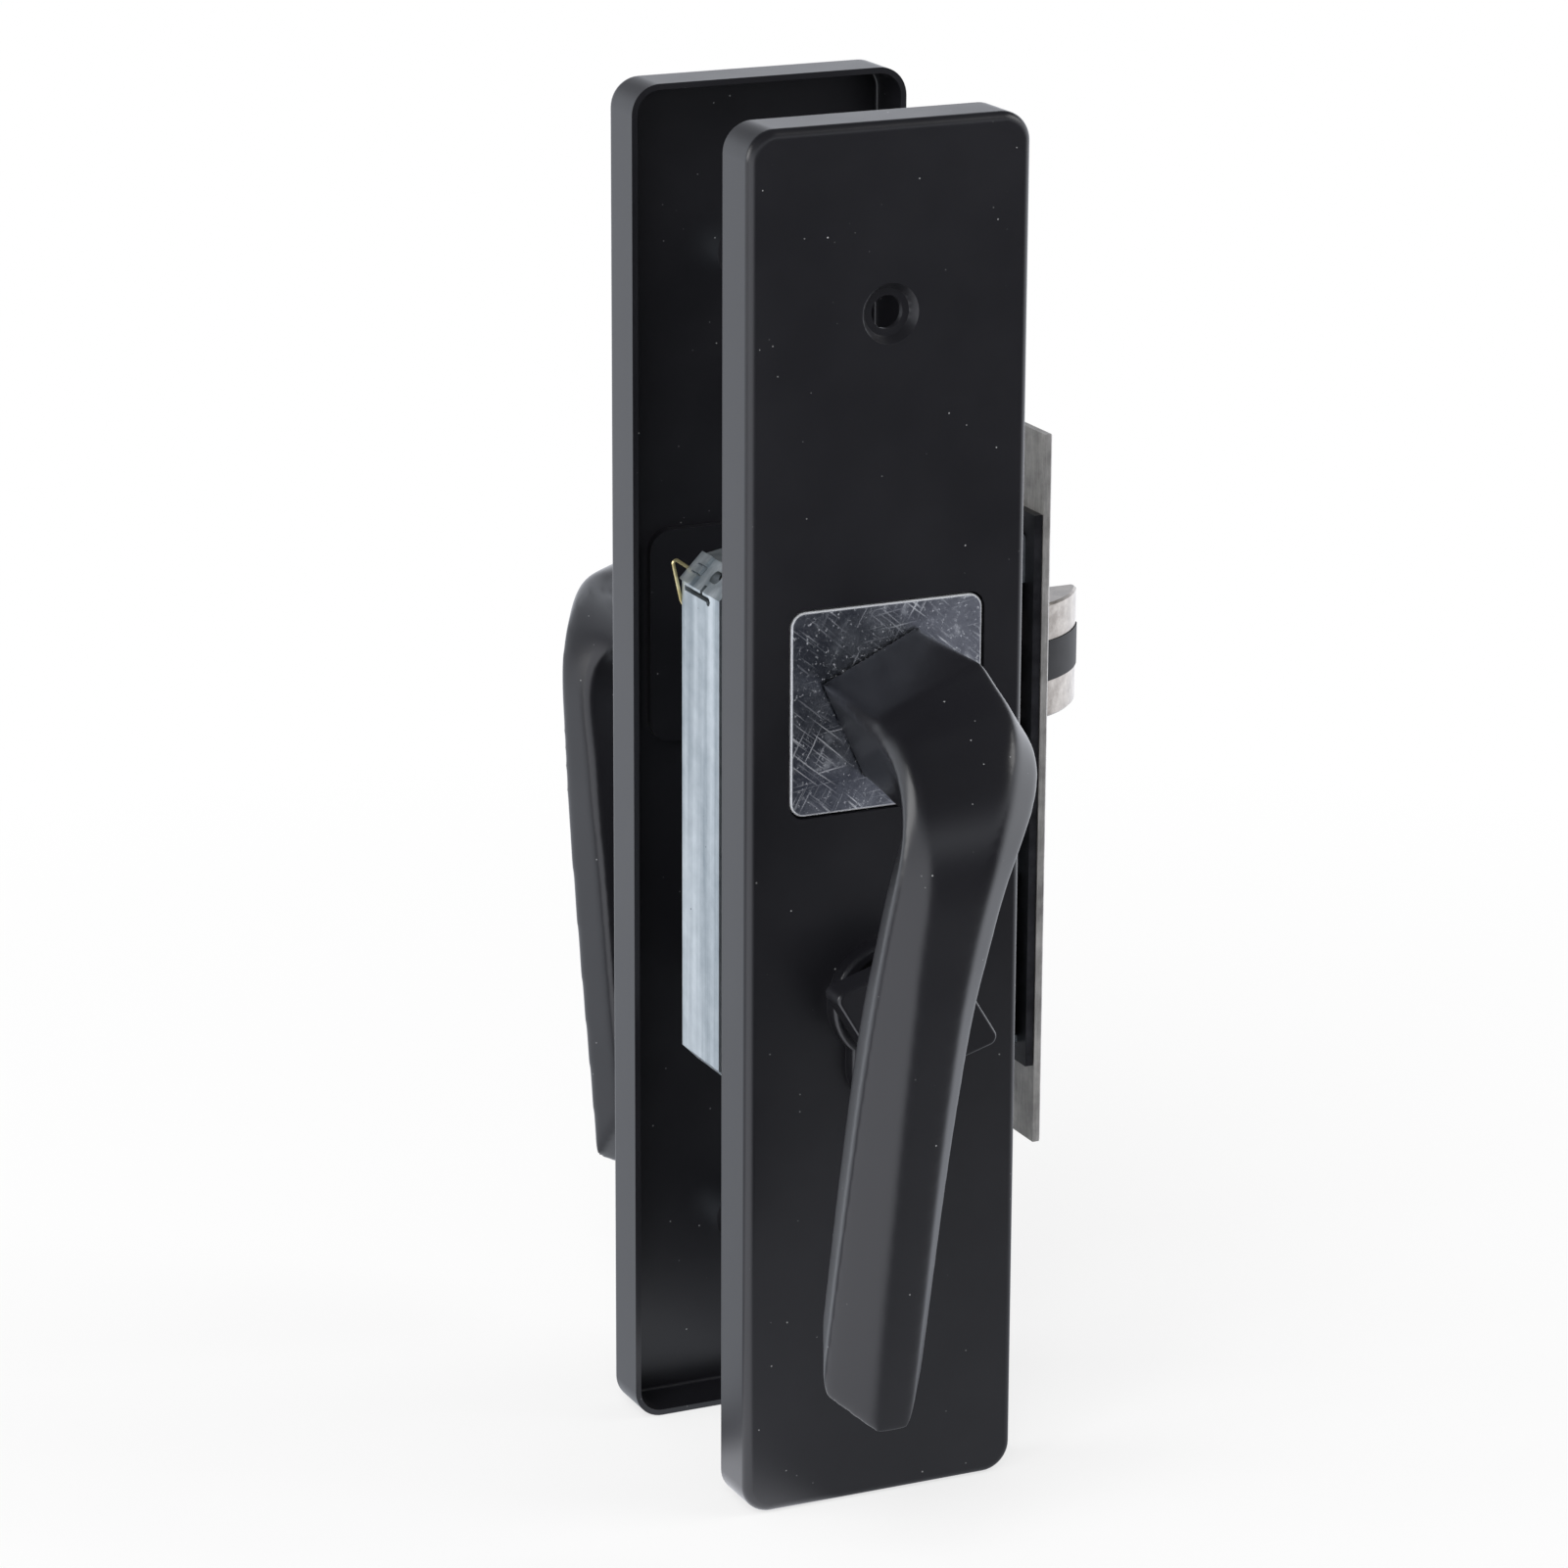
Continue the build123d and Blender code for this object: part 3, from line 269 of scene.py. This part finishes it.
    # scratches, flecks and creases are wear; the rim among these marks is a painted highlight
    wearAndPaintedHighlight = marks[0]
    for mark in marks[1:]:
        wearAndPaintedHighlight = addNode(tree, "ShaderNodeMath", {"operation": "MAXIMUM"},
                       {0: wearAndPaintedHighlight.outputs[0], 1: mark.outputs[0]})
    colour = addNode(tree, "ShaderNodeMix",
                     {"data_type": "RGBA", 7: hexColour(values["scratchAndHighlight"])},
                     {0: wearAndPaintedHighlight.outputs[0], 6: base.outputs["Color"]})
    gloss = addNode(tree, "ShaderNodeMapRange",
                    {"To Min": values["roughness"], "To Max": values["wornRoughness"]},
                    {"Value": wearAndPaintedHighlight.outputs[0]})
    metal = addNode(tree, "ShaderNodeMapRange",
                    {"To Min": 1.0, "To Max": values["wornMetallic"]},
                    {"Value": wearAndPaintedHighlight.outputs[0]})
    bump = addNode(tree, "ShaderNodeBump",
                   {"Strength": 0.3, "Distance": values["smearDepth"] / 1000},
                   {"Height": smear.outputs["Fac"]})
    shader = addNode(tree, "ShaderNodeBsdfPrincipled", {},
                     {"Base Color": colour.outputs[2], "Roughness": gloss.outputs[0],
                      "Metallic": metal.outputs[0], "Normal": bump.outputs[0]})
    addNode(tree, "ShaderNodeOutputMaterial", {}, {"Surface": shader.outputs[0]})
    return material


metalSettings = {
    "mottleSize": 4.0,      # mm, patches of the plating
    "grainSize": 0.3,       # mm across the rolled or drawn grain
    "grainRun": 16.0,       # times as long as wide
    "grainDepth": 0.02,     # mm
    "streak": 0.0,          # how much the grain shows in the colour
    "pitSpacing": 3.0,      # mm between small dark pits of the plating
    "pitRadius": 0.0,       # mm; a finish without pits has none
    "pitColour": "4a5258",
    "roughness": 0.38,
    "glossier": 0.08,       # how far the roughness falls and rises with the mottling
    "duller": 0.1,
    "metallic": 1.0,
}


def workedMetal(name, colour, shade, changes):
    # rolled or drawn metal, bare or electroplated: soft mottling, and a fine grain that
    # runs up and down
    values = dict(metalSettings, **changes)
    material, tree, where = startMaterial(name)
    mottle = addNode(tree, "ShaderNodeTexNoise",
                     {"Scale": 1000 / values["mottleSize"], "Detail": 5.0, "Roughness": 0.65},
                     {"Vector": where})
    lie = addNode(tree, "ShaderNodeMapping", {"Scale": (1.0, 1.0, 1.0 / values["grainRun"])},
                  {"Vector": where})
    grain = addNode(tree, "ShaderNodeTexNoise",
                    {"Scale": 1000 / values["grainSize"], "Detail": 3.0},
                    {"Vector": lie.outputs[0]})
    blend = addNode(tree, "ShaderNodeMix", {"data_type": "FLOAT", 0: values["streak"]},
                    {2: mottle.outputs["Fac"], 3: grain.outputs["Fac"]})
    base = addNode(tree, "ShaderNodeValToRGB", {"stops": [(0.34, shade), (0.64, colour)]},
                   {"Fac": blend.outputs[0]})
    spots = addNode(tree, "ShaderNodeTexVoronoi", {"Scale": 1000 / values["pitSpacing"]},
                    {"Vector": where})
    pits = addNode(tree, "ShaderNodeMath",
                   {"operation": "LESS_THAN", 1: values["pitRadius"] / values["pitSpacing"]},
                   {0: spots.outputs["Distance"]})
    pitted = addNode(tree, "ShaderNodeMix",
                     {"data_type": "RGBA", 7: hexColour(values["pitColour"])},
                     {0: pits.outputs[0], 6: base.outputs["Color"]})
    gloss = addNode(tree, "ShaderNodeMapRange",
                    {"To Min": values["roughness"] - values["glossier"],
                     "To Max": values["roughness"] + values["duller"]},
                    {"Value": mottle.outputs["Fac"]})
    bump = addNode(tree, "ShaderNodeBump",
                   {"Strength": 0.25, "Distance": values["grainDepth"] / 1000},
                   {"Height": grain.outputs["Fac"]})
    shader = addNode(tree, "ShaderNodeBsdfPrincipled", {"Metallic": values["metallic"]},
                     {"Base Color": pitted.outputs[2], "Roughness": gloss.outputs[0],
                      "Normal": bump.outputs[0]})
    addNode(tree, "ShaderNodeOutputMaterial", {}, {"Surface": shader.outputs[0]})
    return material


nylonSettings = {
    "colour": "1f1f22",
    "shade": "161618",
    "tintSize": 3.0,        # mm, drift of the colour
    "textureSize": 0.25,    # mm, grain of the spark-eroded mould
    "textureDepth": 0.02,   # mm
    "roughness": 0.62,
}


def mouldedNylon(name):
    # injection moulded nylon: even colour, low sheen, fine spark-eroded texture of the mould
    values = nylonSettings
    material, tree, where = startMaterial(name)
    tint = addNode(tree, "ShaderNodeTexNoise",
                   {"Scale": 1000 / values["tintSize"], "Detail": 2.0},
                   {"Vector": where})
    base = addNode(tree, "ShaderNodeValToRGB",
                   {"stops": [(0.35, values["shade"]), (0.65, values["colour"])]},
                   {"Fac": tint.outputs["Fac"]})
    texture = addNode(tree, "ShaderNodeTexNoise",
                      {"Scale": 1000 / values["textureSize"], "Detail": 1.0},
                      {"Vector": where})
    bump = addNode(tree, "ShaderNodeBump",
                   {"Strength": 0.3, "Distance": values["textureDepth"] / 1000},
                   {"Height": texture.outputs["Fac"]})
    shader = addNode(tree, "ShaderNodeBsdfPrincipled",
                     {"IOR": 1.53, "Roughness": values["roughness"]},
                     {"Base Color": base.outputs["Color"], "Normal": bump.outputs[0]})
    addNode(tree, "ShaderNodeOutputMaterial", {}, {"Surface": shader.outputs[0]})
    return material


plateLacquer = blackLacquer("blackLacquerPlate", {})
# the cast levers are rubbed down before the lacquer, so their coat lies smoother
leverLacquer = blackLacquer("blackLacquerLever",
                            {"roughness": 0.3, "cloudSize": 30.0, "peelDepth": 0.003})
insertSteel = scratchedInsert("scratchedPolishedSteel")
# zinc plated sheet with the broad streaks of its rolling and a few dark pits
zincSteel = workedMetal("zincPlatedSteel", "d3dade", "8a959c",
                        {"grainSize": 3.6, "grainRun": 30.0, "streak": 0.75,
                         "roughness": 0.42, "metallic": 0.85, "pitRadius": 0.17})
stainlessSteel = workedMetal("brushedStainlessStrip", "c6c4c0", "8e8c89",
                             {"mottleSize": 6.0, "grainSize": 0.35, "streak": 0.3,
                              "roughness": 0.5, "metallic": 0.7})
nickelZinc = workedMetal("nickelPlatedZinc", "b5afa8", "8b857f",
                         {"mottleSize": 3.0, "roughness": 0.33})
# painted shade: the inner forend's steel is painted dark for the shade and dark reflections it
# sits in behind the plate
paintedShadeSteel = workedMetal("steelStripPaintedShade", "3a3a3e", "28282b",
                        {"roughness": 0.4, "metallic": 0.7})
bareSteel = workedMetal("drawnSteel", "a8aab0", "84868c", {"roughness": 0.35})
yellowZinc = workedMetal("yellowZincWire", "e6dcae", "bfae74",
                         {"roughness": 0.35, "metallic": 0.9})
blackNylon = mouldedNylon("blackNylon")
cylinderBrass = workedMetal("blackenedBrass", "2e2d2e", "1f1e1f",
                            {"roughness": 0.4, "metallic": 0.6})
print("materials made")

dressing = {
    # material: the CAD nodes that wear it as they are
    insertSteel: ("front_insert", "rear_insert"),
    blackNylon: ("front_bush", "rear_bush", "latch_insert"),
    zincSteel: ("case_body", "case_cover", "case_pillars", "case_screws", "plate_posts",
                "follower", "deadbolt", "grub_screws"),
    # the inner forend wears steel painted dark as painted shade
    paintedShadeSteel: ("inner_forend",),
    nickelZinc: ("latch_bolt",),
    stainlessSteel: ("forend", "forend_screws", "cylinder_screw"),
    bareSteel: ("spindle", "cylinder_cam", "front_circlip", "rear_circlip"),
    yellowZinc: ("spring_anchor",),
    cylinderBrass: ("cylinder_body", "turn_plug", "key_plug"),
    leverLacquer: ("thumb_turn",),
}
for material, names in dressing.items():
    for name in names:
        mesh = nodes[name].data
        mesh.materials.clear()
        mesh.materials.append(material)
print("CAD nodes dressed")

merging = {
    "distance": 0.00001,    # metres; corners nearer than this are one
    "flatAngle": 0.5,       # degrees; flatter joints between triangles are dissolved
}


def mergedMesh(name):
    # a CAD node's mesh is loose triangles; this copy of it is joined up
    mesh = bpy.data.meshes.new(name + "Shell")
    work = bmesh.new()
    work.from_mesh(nodes[name].data)
    bmesh.ops.remove_doubles(work, verts=work.verts, dist=merging["distance"])
    bmesh.ops.dissolve_limit(work, angle_limit=math.radians(merging["flatAngle"]),
                             verts=work.verts, edges=work.edges)
    for face in work.faces:
        face.smooth = True
    work.to_mesh(mesh)
    work.free()
    mesh.materials.clear()
    return mesh


def standIn(name, mesh, body, material):
    # the object that takes a CAD node's place
    mesh.materials.append(material)
    piece = bpy.data.objects.new(name + "Shell", mesh)
    bpy.context.scene.collection.objects.link(piece)
    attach(piece, body)
    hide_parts(name)
    return piece


plateEdges = {
    "width": 0.0003,        # metres
    "segments": 2,
    "angle": 38,            # degrees; flatter corners are left alone
    "faceWeight": 100,      # how far the large faces set the shading, so that they stay flat
}
for side in ("front", "rear"):
    name = side + "_plate"
    plate = standIn(name, mergedMesh(name), "lock", plateLacquer)
    bevel = plate.modifiers.new("easedEdges", "BEVEL")
    bevel.width = plateEdges["width"]
    bevel.segments = plateEdges["segments"]
    bevel.limit_method = "ANGLE"
    bevel.angle_limit = math.radians(plateEdges["angle"])
    flat = plate.modifiers.new("flatFaces", "WEIGHTED_NORMAL")
    flat.mode = "FACE_AREA_WITH_ANGLE"
    flat.weight = plateEdges["faceWeight"]
print("plates eased")

leverSkin = {
    "voxel": 0.00038,       # metres, size of the new skin's squares
    "rounds": 50,           # of smoothing, which rounds a crease to about two millimetres
    "pull": 0.5,            # share of the way to its neighbours that a point moves each round
    "start": 0.0286,        # metres from the door's middle; the hub in the plate keeps its shape
}
for side in ("front", "rear"):
    # an even skin over the cast lever, smoothed so that the creases between its facets
    # turn soft
    name = side + "_lever"
    block = bpy.data.objects.new("leverBlock", mergedMesh(name))
    bpy.context.scene.collection.objects.link(block)
    skin = block.modifiers.new("skin", "REMESH")
    skin.mode = "VOXEL"
    skin.voxel_size = leverSkin["voxel"]
    bpy.context.view_layer.update()
    evaluated = block.evaluated_get(bpy.context.evaluated_depsgraph_get())
    mesh = bpy.data.meshes.new_from_object(evaluated)
    bpy.data.objects.remove(block)
    mesh.name = name + "Shell"
    work = bmesh.new()
    work.from_mesh(mesh)
    outer = [vert for vert in work.verts if abs(vert.co.y) > leverSkin["start"]]
    for smoothing in range(leverSkin["rounds"]):
        bmesh.ops.smooth_vert(work, verts=outer, factor=leverSkin["pull"],
                              use_axis_x=True, use_axis_y=True, use_axis_z=True)
    for face in work.faces:
        face.smooth = True
    work.to_mesh(mesh)
    work.free()
    standIn(name, mesh, "handle", leverLacquer)
    print(name, "skin of", len(mesh.polygons), "faces")

springs = {
    # name: material, slot, joint that presses it,
    # its line, the end that stays put in metres, share of its length left at the joint's limit
    "latch_spring": (bareSteel, "bare_steel", "latch_slide",
                     (1, 0, 0), (-0.001, 0, 0.0135), 0.48),
    "return_spring": (yellowZinc, "yellow_zinc", "lever_turn",
                      (0, 0, 1), (-0.0135, 0, 0.0169), 0.5),
}
for name, (material, slot, joint, line, fixedEnd, keep) in springs.items():
    spring = standIn(name, mergedMesh(name), "lock", material)
    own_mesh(spring)

studioSettings = {
    # what gloss sees round about, by degrees from the front, positive to the right:
    # low down, higher up, and on the floor close by
    "low": [(-180, "d6d9e0"), (-158, "bbbfc6"), (-116, "c4c8cf"), (-107, "66686e"),
            (-98, "66686e"), (-84, "f0f2f9"), (-32, "f6f8ff"), (-14, "3a3a40"), (48, "3a3a40"),
            (80, "eceff6"), (150, "eceff6"), (180, "d6d9e0")],
    "high": [(-180, "d6d9e0"), (-158, "bbbfc6"), (-116, "c4c8cf"), (-107, "66686e"),
             (-98, "66686e"), (-84, "d6d9e0"), (-30, "b8bbc2"), (48, "c4c7ce"),
             (80, "e0e3ea"), (180, "d6d9e0")],
    "near": [(-180, "c4c8cf"), (-158, "b4b8bf"), (-116, "b4b8bf"), (-107, "66686e"),
             (-98, "66686e"), (-84, "f0f2f9"), (-32, "f6f8ff"), (-14, "86888d"),
             (48, "86888d"), (80, "989ba2"), (150, "989ba2"), (180, "c4c8cf")],
    "glossLevel": 2.0,      # brightness of the ramps' white
    "highFrom": 0.2,        # sine of the height where the upper ring has taken over
    "ceilingStart": 0.22,   # sine of the height where the cloth begins to fade
    "ceilingEnd": 0.5,      # and where the dark ceiling is reached
    "ceiling": 0.05,        # how much of the brightness is left there
    "diffuseLevel": 0.55,   # brightness of the plain room that matt surfaces see
}


def studioAround(tree, where, ring):
    # a soft box at the front left, a dark room in front, which is paler higher up, a grey gap
    # at the left, and white cloth at the right and behind
    split = addNode(tree, "ShaderNodeSeparateXYZ", {}, {0: where})
    forward = addNode(tree, "ShaderNodeMath", {"operation": "MULTIPLY", 1: -1.0},
                      {0: split.outputs["Y"]})
    bearing = addNode(tree, "ShaderNodeMath", {"operation": "ARCTAN2"},
                      {0: split.outputs["X"], 1: forward.outputs[0]})
    turned = addNode(tree, "ShaderNodeMapRange", {"From Min": -math.pi, "From Max": math.pi},
                     {"Value": bearing.outputs[0]})
    stops = [(0.5 + degrees / 360, code) for degrees, code in studioSettings[ring]]
    return addNode(tree, "ShaderNodeValToRGB", {"stops": stops},
                   {"Fac": turned.outputs[0]}).outputs[0]


floorSettings = {
    "level": -0.1391,       # metres, just under the plates' bottom edges
    "halfWidth": 0.46,
    "colour": "f2f2f2",
    "near": 0.12,           # metres from the middle; the shadow lies within
    "far": 0.42,            # from here on the floor is plain white to the eye
    "nearShare": 0.7,       # share of plain white the eye sees there; the rest keeps the shadow
}

floorMesh = bpy.data.meshes.new("paleFloor")
work = bmesh.new()
bmesh.ops.create_grid(work, x_segments=2, y_segments=2, size=floorSettings["halfWidth"])
bmesh.ops.translate(work, verts=work.verts, vec=(0, 0, floorSettings["level"]))
work.to_mesh(floorMesh)
work.free()
floor = bpy.data.objects.new("paleFloor", floorMesh)
bpy.context.scene.collection.objects.link(floor)
# pale paint that takes the shadow; further out the eye sees it plain white, and gloss sees
# the studio's cloth on it
floorMaterial, tree, where = startMaterial("paleFloorPaint")
flat = addNode(tree, "ShaderNodeVectorMath", {"operation": "MULTIPLY", 1: (1, 1, 0)}, {0: where})
away = addNode(tree, "ShaderNodeVectorMath", {"operation": "LENGTH"}, {0: flat.outputs[0]})
distance = addNode(tree, "ShaderNodeMapRange",
                   {"From Min": floorSettings["near"], "From Max": floorSettings["far"]},
                   {"Value": away.outputs["Value"]})
eyeShare = addNode(tree, "ShaderNodeMapRange",
                   {"To Min": floorSettings["nearShare"], "To Max": 1.0},
                   {"Value": distance.outputs[0]})
path = addNode(tree, "ShaderNodeLightPath", {}, {})
eyeSees = addNode(tree, "ShaderNodeMath", {"operation": "MULTIPLY"},
                  {0: path.outputs["Is Camera Ray"], 1: eyeShare.outputs[0]})
mirrored = addNode(tree, "ShaderNodeMath", {"operation": "MAXIMUM"},
                   {0: path.outputs["Is Glossy Ray"], 1: path.outputs["Is Transmission Ray"]})
share = addNode(tree, "ShaderNodeMath", {"operation": "MAXIMUM"},
                {0: eyeSees.outputs[0], 1: mirrored.outputs[0]})
cloth = addNode(tree, "ShaderNodeMix", {"data_type": "RGBA"},
                {0: distance.outputs[0], 6: studioAround(tree, where, "near"),
                 7: studioAround(tree, where, "low")})
bright = addNode(tree, "ShaderNodeVectorMath",
                 {"operation": "SCALE", 3: studioSettings["glossLevel"]},
                 {0: cloth.outputs[2]})
white = addNode(tree, "ShaderNodeMix", {"data_type": "RGBA", 6: (1, 1, 1, 1)},
                {0: mirrored.outputs[0], 7: bright.outputs[0]})
paint = addNode(tree, "ShaderNodeBsdfDiffuse", {"Color": hexColour(floorSettings["colour"])}, {})
glow = addNode(tree, "ShaderNodeEmission", {"Strength": 1.0}, {"Color": white.outputs[2]})
mixed = addNode(tree, "ShaderNodeMixShader", {},
                {0: share.outputs[0], 1: paint.outputs[0], 2: glow.outputs[0]})
addNode(tree, "ShaderNodeOutputMaterial", {}, {"Surface": mixed.outputs[0]})
floorMesh.materials.append(floorMaterial)
print("floor laid")

world = bpy.data.worlds.new("studio")
bpy.context.scene.world = world
world.use_nodes = True
tree = world.node_tree
tree.nodes.clear()
# the eye sees white, gloss sees the studio, and matt surfaces an even room
direction = addNode(tree, "ShaderNodeTexCoord", {}, {}).outputs["Generated"]
split = addNode(tree, "ShaderNodeSeparateXYZ", {}, {0: direction})
raised = addNode(tree, "ShaderNodeMapRange",
                 {"From Min": 0.0, "From Max": studioSettings["highFrom"]},
                 {"Value": split.outputs["Z"]})
rings = addNode(tree, "ShaderNodeMix", {"data_type": "RGBA"},
                {0: raised.outputs[0], 6: studioAround(tree, direction, "low"),
                 7: studioAround(tree, direction, "high")})
overhead = addNode(tree, "ShaderNodeMapRange",
                   {"From Min": studioSettings["ceilingStart"],
                    "From Max": studioSettings["ceilingEnd"],
                    "To Min": studioSettings["glossLevel"],
                    "To Max": studioSettings["glossLevel"] * studioSettings["ceiling"]},
                   {"Value": split.outputs["Z"]})
cloth = addNode(tree, "ShaderNodeVectorMath", {"operation": "SCALE"},
                {0: rings.outputs[2], 3: overhead.outputs[0]})
path = addNode(tree, "ShaderNodeLightPath", {}, {})
even = [studioSettings["diffuseLevel"]] * 3 + [1.0]
room = addNode(tree, "ShaderNodeMix", {"data_type": "RGBA", 6: even},
               {0: path.outputs["Is Glossy Ray"], 7: cloth.outputs[0]})
backdrop = addNode(tree, "ShaderNodeMix", {"data_type": "RGBA", 7: (1, 1, 1, 1)},
                   {0: path.outputs["Is Camera Ray"], 6: room.outputs[2]})
sky = addNode(tree, "ShaderNodeBackground", {"Strength": 1.0}, {"Color": backdrop.outputs[2]})
addNode(tree, "ShaderNodeOutputWorld", {}, {"Surface": sky.outputs[0]})

lamps = {
    # name: place, size, power in watts, whether gloss shows it
    "keyLamp": ((-0.9, -0.9, 1.2), 0.9, 14.0, False),   # gloss has the studio's soft box there
    "sideLamp": ((-1.4, 0.3, 0.4), 0.8, 9.0, True),
    "rimLamp": ((1.1, -0.5, 0.9), 0.7, 6.0, True),
}
lampTarget = (0, 0, -0.03)      # a little under the spindle
for name, (place, size, power, inGloss) in lamps.items():
    lampData = bpy.data.lights.new(name, "AREA")
    lampData.shape = "SQUARE"
    lampData.size = size
    lampData.energy = power
    lamp = bpy.data.objects.new(name, lampData)
    bpy.context.scene.collection.objects.link(lamp)
    lamp.location = place
    lamp.visible_glossy = inGloss
    lamp.rotation_mode = "QUATERNION"
    lamp.rotation_quaternion = (Vector(lampTarget) - Vector(place)).to_track_quat("-Z", "Y")
print("world and lamps set")
